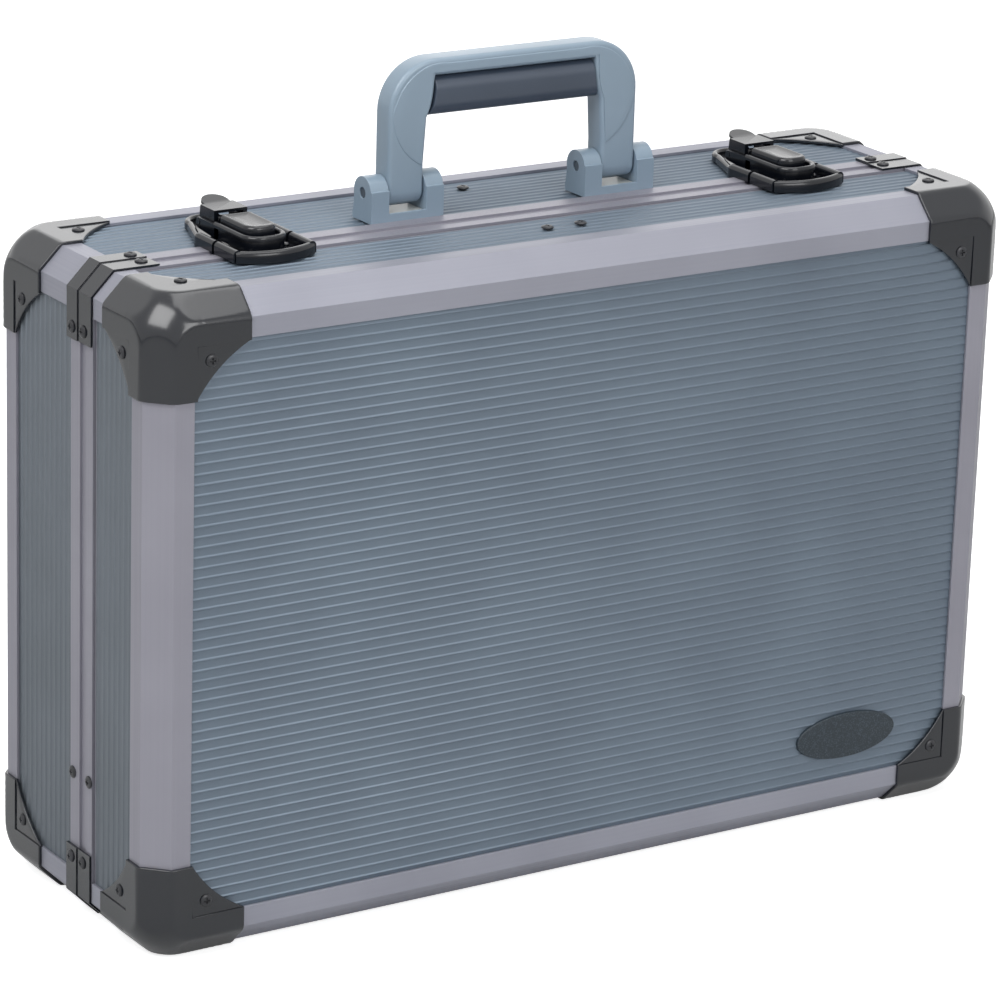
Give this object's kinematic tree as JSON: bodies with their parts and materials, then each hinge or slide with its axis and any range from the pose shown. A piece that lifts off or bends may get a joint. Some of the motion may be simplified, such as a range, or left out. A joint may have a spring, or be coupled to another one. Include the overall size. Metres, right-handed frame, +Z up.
{
  "type": "hard tool case",
  "caption": "Upright hard case with ribbed metal-faced panels, edge rails, corner caps, a folding top handle, draw latches and a bottom-hinged front lid with stays.",
  "frame": {"origin": "middle of the width and depth of the case body, on the plane that the corner caps rest on", "axes": "+X along the width, towards the right seen from the lid; +Y from the lid towards the back; +Z up, towards the handle"},
  "size_m": [0.465, 0.154, 0.3795],
  "materials": {
    "panel_sheet": "satin ribbed sheet",
    "rail": "satin anodised",
    "cap": "fine grain moulded",
    "black_steel": "smooth black",
    "zinc_steel": "zinc plated",
    "handle_plastic": "fine grain moulded",
    "grip_rubber": "matt",
    "badge": "speckled",
    "lining": "textured",
    "nylon": "smooth"
  },
  "bodies": {
    "base": {"base_back_panel": "panel_sheet", "base_top_panel": "panel_sheet", "base_bottom_panel": "panel_sheet", "base_left_panel": "panel_sheet", "base_right_panel": "panel_sheet", "base_edge_top": "rail", "base_edge_bottom": "rail", "base_edge_left": "rail", "base_edge_right": "rail", "base_corner_rails": "rail", "base_band": "rail", "base_lining": "lining", "base_cap_top_left": "cap", "base_cap_top_right": "cap", "base_cap_bottom_left": "cap", "base_cap_bottom_right": "cap", "seam_brackets": "cap", "base_screws": "black_steel", "base_hinge_leaves": "zinc_steel", "hinge_pins": "zinc_steel", "latch_plate_left": "black_steel", "latch_plate_right": "black_steel", "latch_pins": "zinc_steel", "handle_mount_left": "handle_plastic", "handle_mount_right": "handle_plastic", "handle_pins": "zinc_steel", "handle_stops": "nylon", "handle_backing_plates": "zinc_steel", "stay_brackets": "zinc_steel"},
    "lid": {"lid_front_panel": "panel_sheet", "lid_top_panel": "panel_sheet", "lid_bottom_panel": "panel_sheet", "lid_left_panel": "panel_sheet", "lid_right_panel": "panel_sheet", "lid_edge_top": "rail", "lid_edge_bottom": "rail", "lid_edge_left": "rail", "lid_edge_right": "rail", "lid_corner_rails": "rail", "lid_rim": "rail", "lid_lining": "lining", "lid_cap_top_left": "cap", "lid_cap_top_right": "cap", "lid_cap_bottom_left": "cap", "lid_cap_bottom_right": "cap", "lid_screws": "black_steel", "badge_plate": "badge", "strike_left": "black_steel", "strike_right": "black_steel", "lid_hinge_leaves": "zinc_steel", "stay_tracks": "zinc_steel"},
    "handle": {"handle_arch": "handle_plastic", "handle_grip": "grip_rubber"},
    "latch_lever_left": {"latch_lever_left": "black_steel"},
    "latch_lever_right": {"latch_lever_right": "black_steel"},
    "latch_claw_left": {"latch_claw_left": "black_steel"},
    "latch_claw_right": {"latch_claw_right": "black_steel"},
    "stay_arm_left": {"stay_arm_left": "zinc_steel"},
    "stay_arm_right": {"stay_arm_right": "zinc_steel"}
  },
  "joints": [
    {"name": "lid_hinge", "type": "hinge", "parent": "base", "child": "lid", "pos_m": [0, -0.019, 0.0037], "axis": [1, 0, 0], "range_deg": [0, 90]},
    {"name": "handle_fold", "type": "hinge", "parent": "base", "child": "handle", "pos_m": [0, 0.01, 0.3193], "axis": [1, 0, 0], "range_deg": [-85, 85]},
    {"name": "latch_lever_left", "type": "hinge", "parent": "base", "child": "latch_lever_left", "pos_m": [-0.145, 0.014, 0.3148], "axis": [1, 0, 0], "range_deg": [0, 80]},
    {"name": "latch_claw_left", "type": "hinge", "parent": "latch_lever_left", "child": "latch_claw_left", "pos_m": [-0.145, 0.022, 0.312], "axis": [1, 0, 0], "range_deg": [-104, 0]},
    {"name": "stay_left", "type": "hinge", "parent": "base", "child": "stay_arm_left", "pos_m": [-0.2171, -0.011, 0.0695], "axis": [1, 0, 0], "range_deg": [0, 156]},
    {"name": "latch_lever_right", "type": "hinge", "parent": "base", "child": "latch_lever_right", "pos_m": [0.145, 0.014, 0.3148], "axis": [1, 0, 0], "range_deg": [0, 80]},
    {"name": "latch_claw_right", "type": "hinge", "parent": "latch_lever_right", "child": "latch_claw_right", "pos_m": [0.145, 0.022, 0.312], "axis": [1, 0, 0], "range_deg": [-104, 0]},
    {"name": "stay_right", "type": "hinge", "parent": "base", "child": "stay_arm_right", "pos_m": [0.2171, -0.011, 0.0695], "axis": [1, 0, 0], "range_deg": [0, 156]}
  ],
  "couplings": [
    {"joint": "latch_claw_left", "follows": "latch_lever_left", "ratio": -1.3},
    {"joint": "stay_left", "follows": "lid_hinge", "ratio": 1.725},
    {"joint": "latch_claw_right", "follows": "latch_lever_right", "ratio": -1.3},
    {"joint": "stay_right", "follows": "lid_hinge", "ratio": 1.725}
  ]
}
